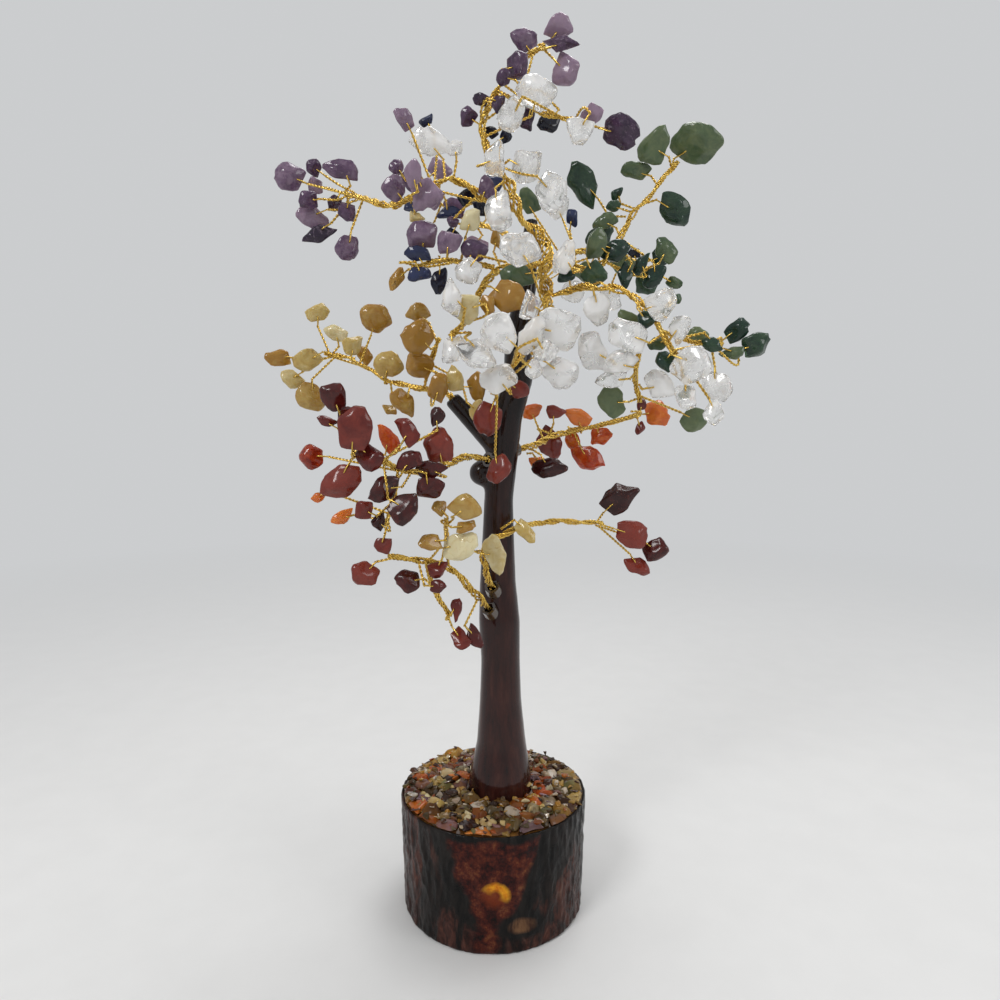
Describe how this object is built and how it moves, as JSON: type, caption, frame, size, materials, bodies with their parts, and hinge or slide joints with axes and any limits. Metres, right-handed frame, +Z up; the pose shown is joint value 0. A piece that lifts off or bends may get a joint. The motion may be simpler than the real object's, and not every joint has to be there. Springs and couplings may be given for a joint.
{
  "type": "gemstone tree ornament",
  "caption": "Table ornament: a dark tree trunk on a lacquered log base, its bendable gold wire boughs strung with drilled polished stone chips over a chip bed.",
  "frame": {"origin": "middle of the log base's underside", "axes": "+Z up the trunk, -Y towards the viewer of the picture"},
  "size_m": [0.1544, 0.0888, 0.2727],
  "materials": {
    "lacquered_log": "glossy lacquer",
    "clear_resin": "glossy",
    "dark_trunk": "glossy lacquer",
    "hot_glue": "glossy",
    "gold_wire": "bright",
    "amethyst": "polished",
    "quartz": "polished",
    "green": "polished",
    "citrine": "polished",
    "carnelian": "polished",
    "jasper": "polished",
    "lapis": "polished"
  },
  "bodies": {
    "stand": {"bed_amethyst": "amethyst", "bed_carnelian": "carnelian", "bed_citrine": "citrine", "bed_green": "green", "bed_jasper": "jasper", "bed_lapis": "lapis", "bed_quartz": "quartz", "glue_plugs": "hot_glue", "log_base": "lacquered_log", "mast": "gold_wire", "resin_bed": "clear_resin", "trunk": "dark_trunk", "wire_roots": "gold_wire"},
    "back_carnelian_bough": {"back_carnelian_carnelian": "carnelian", "back_carnelian_jasper": "jasper", "back_carnelian_wire": "gold_wire"},
    "left_amethyst_bough": {"left_amethyst_amethyst": "amethyst", "left_amethyst_wire": "gold_wire"},
    "right_quartz_bough": {"right_quartz_green": "green", "right_quartz_quartz": "quartz", "right_quartz_wire": "gold_wire"},
    "front_quartz_bough": {"front_quartz_jasper": "jasper", "front_quartz_quartz": "quartz", "front_quartz_wire": "gold_wire"},
    "left_yellow_bough": {"left_yellow_citrine": "citrine", "left_yellow_wire": "gold_wire"},
    "upper_left_bough": {"upper_left_amethyst": "amethyst", "upper_left_citrine": "citrine", "upper_left_lapis": "lapis", "upper_left_quartz": "quartz", "upper_left_wire": "gold_wire"},
    "back_right_bough": {"back_right_green": "green", "back_right_quartz": "quartz", "back_right_wire": "gold_wire"},
    "low_front_bough": {"low_front_citrine": "citrine", "low_front_jasper": "jasper", "low_front_wire": "gold_wire"},
    "right_red_bough": {"right_red_citrine": "citrine", "right_red_jasper": "jasper", "right_red_wire": "gold_wire"},
    "back_left_bough": {"back_left_amethyst": "amethyst", "back_left_lapis": "lapis", "back_left_wire": "gold_wire"},
    "mid_left_bough": {"mid_left_amethyst": "amethyst", "mid_left_citrine": "citrine", "mid_left_lapis": "lapis", "mid_left_quartz": "quartz", "mid_left_wire": "gold_wire"},
    "left_red_bough": {"left_red_carnelian": "carnelian", "left_red_jasper": "jasper", "left_red_wire": "gold_wire"},
    "green_bough": {"green_green": "green", "green_lapis": "lapis", "green_quartz": "quartz", "green_wire": "gold_wire"},
    "top_bough": {"top_amethyst": "amethyst", "top_lapis": "lapis", "top_quartz": "quartz", "top_wire": "gold_wire"}
  },
  "joints": [
    {"name": "top_bend", "type": "hinge", "parent": "stand", "child": "top_bough", "pos_m": [0.00342, -0.01105, 0.22565], "axis": [0.6482, -0.7198, -0.2484], "range_deg": [-20, 4]},
    {"name": "upper_left_bend", "type": "hinge", "parent": "stand", "child": "upper_left_bough", "pos_m": [0.00318, -0.01163, 0.21754], "axis": [-0.1841, -0.3049, -0.9344], "range_deg": [-14, 20]},
    {"name": "left_amethyst_bend", "type": "hinge", "parent": "upper_left_bough", "child": "left_amethyst_bough", "pos_m": [-0.02404, -0.01463, 0.21799], "axis": [0.5194, 0.8546, 0], "range_deg": [-20, 20]},
    {"name": "mid_left_bend", "type": "hinge", "parent": "stand", "child": "mid_left_bough", "pos_m": [0.01339, -0.01175, 0.20135], "axis": [0, 0, 1], "range_deg": [-6, 4]},
    {"name": "green_bend", "type": "hinge", "parent": "stand", "child": "green_bough", "pos_m": [0.01906, -0.00807, 0.20195], "axis": [0.4357, -0.9001, 0], "range_deg": [-12, 20]},
    {"name": "right_quartz_bend", "type": "hinge", "parent": "stand", "child": "right_quartz_bough", "pos_m": [0.01896, -0.01076, 0.19309], "axis": [0, 0, 1], "range_deg": [-20, 20]},
    {"name": "front_quartz_bend", "type": "hinge", "parent": "stand", "child": "front_quartz_bough", "pos_m": [0.01582, -0.01248, 0.19068], "axis": [0, 0, 1], "range_deg": [-7, 20]},
    {"name": "left_yellow_bend", "type": "hinge", "parent": "stand", "child": "left_yellow_bough", "pos_m": [-0.01409, -0.0034, 0.16501], "axis": [0.3273, 0.9449, 0], "range_deg": [-13, 20]},
    {"name": "left_red_bend", "type": "hinge", "parent": "stand", "child": "left_red_bough", "pos_m": [-0.00239, -0.00484, 0.14499], "axis": [0.2076, -0.1625, -0.9646], "range_deg": [-20, 20]},
    {"name": "low_front_bend", "type": "hinge", "parent": "stand", "child": "low_front_bough", "pos_m": [-0.00178, -0.00721, 0.09972], "axis": [-0.7931, -0.0034, -0.6091], "range_deg": [-20, 20]},
    {"name": "right_red_bend", "type": "hinge", "parent": "stand", "child": "right_red_bough", "pos_m": [-0.0006, -0.00729, 0.10657], "axis": [0.1436, -0.9896, 0], "range_deg": [-20, 20]},
    {"name": "back_carnelian_bend", "type": "hinge", "parent": "stand", "child": "back_carnelian_bough", "pos_m": [0.00836, 0.00448, 0.14766], "axis": [0.5669, -0.8238, 0], "range_deg": [-20, 20]},
    {"name": "back_left_bend", "type": "hinge", "parent": "stand", "child": "back_left_bough", "pos_m": [0.009, 0.00399, 0.20658], "axis": [0.7566, 0.6539, 0], "range_deg": [-20, 15]},
    {"name": "back_right_bend", "type": "hinge", "parent": "stand", "child": "back_right_bough", "pos_m": [0.01235, 0.00415, 0.19884], "axis": [0, 0, 1], "range_deg": [-16, 16]}
  ]
}
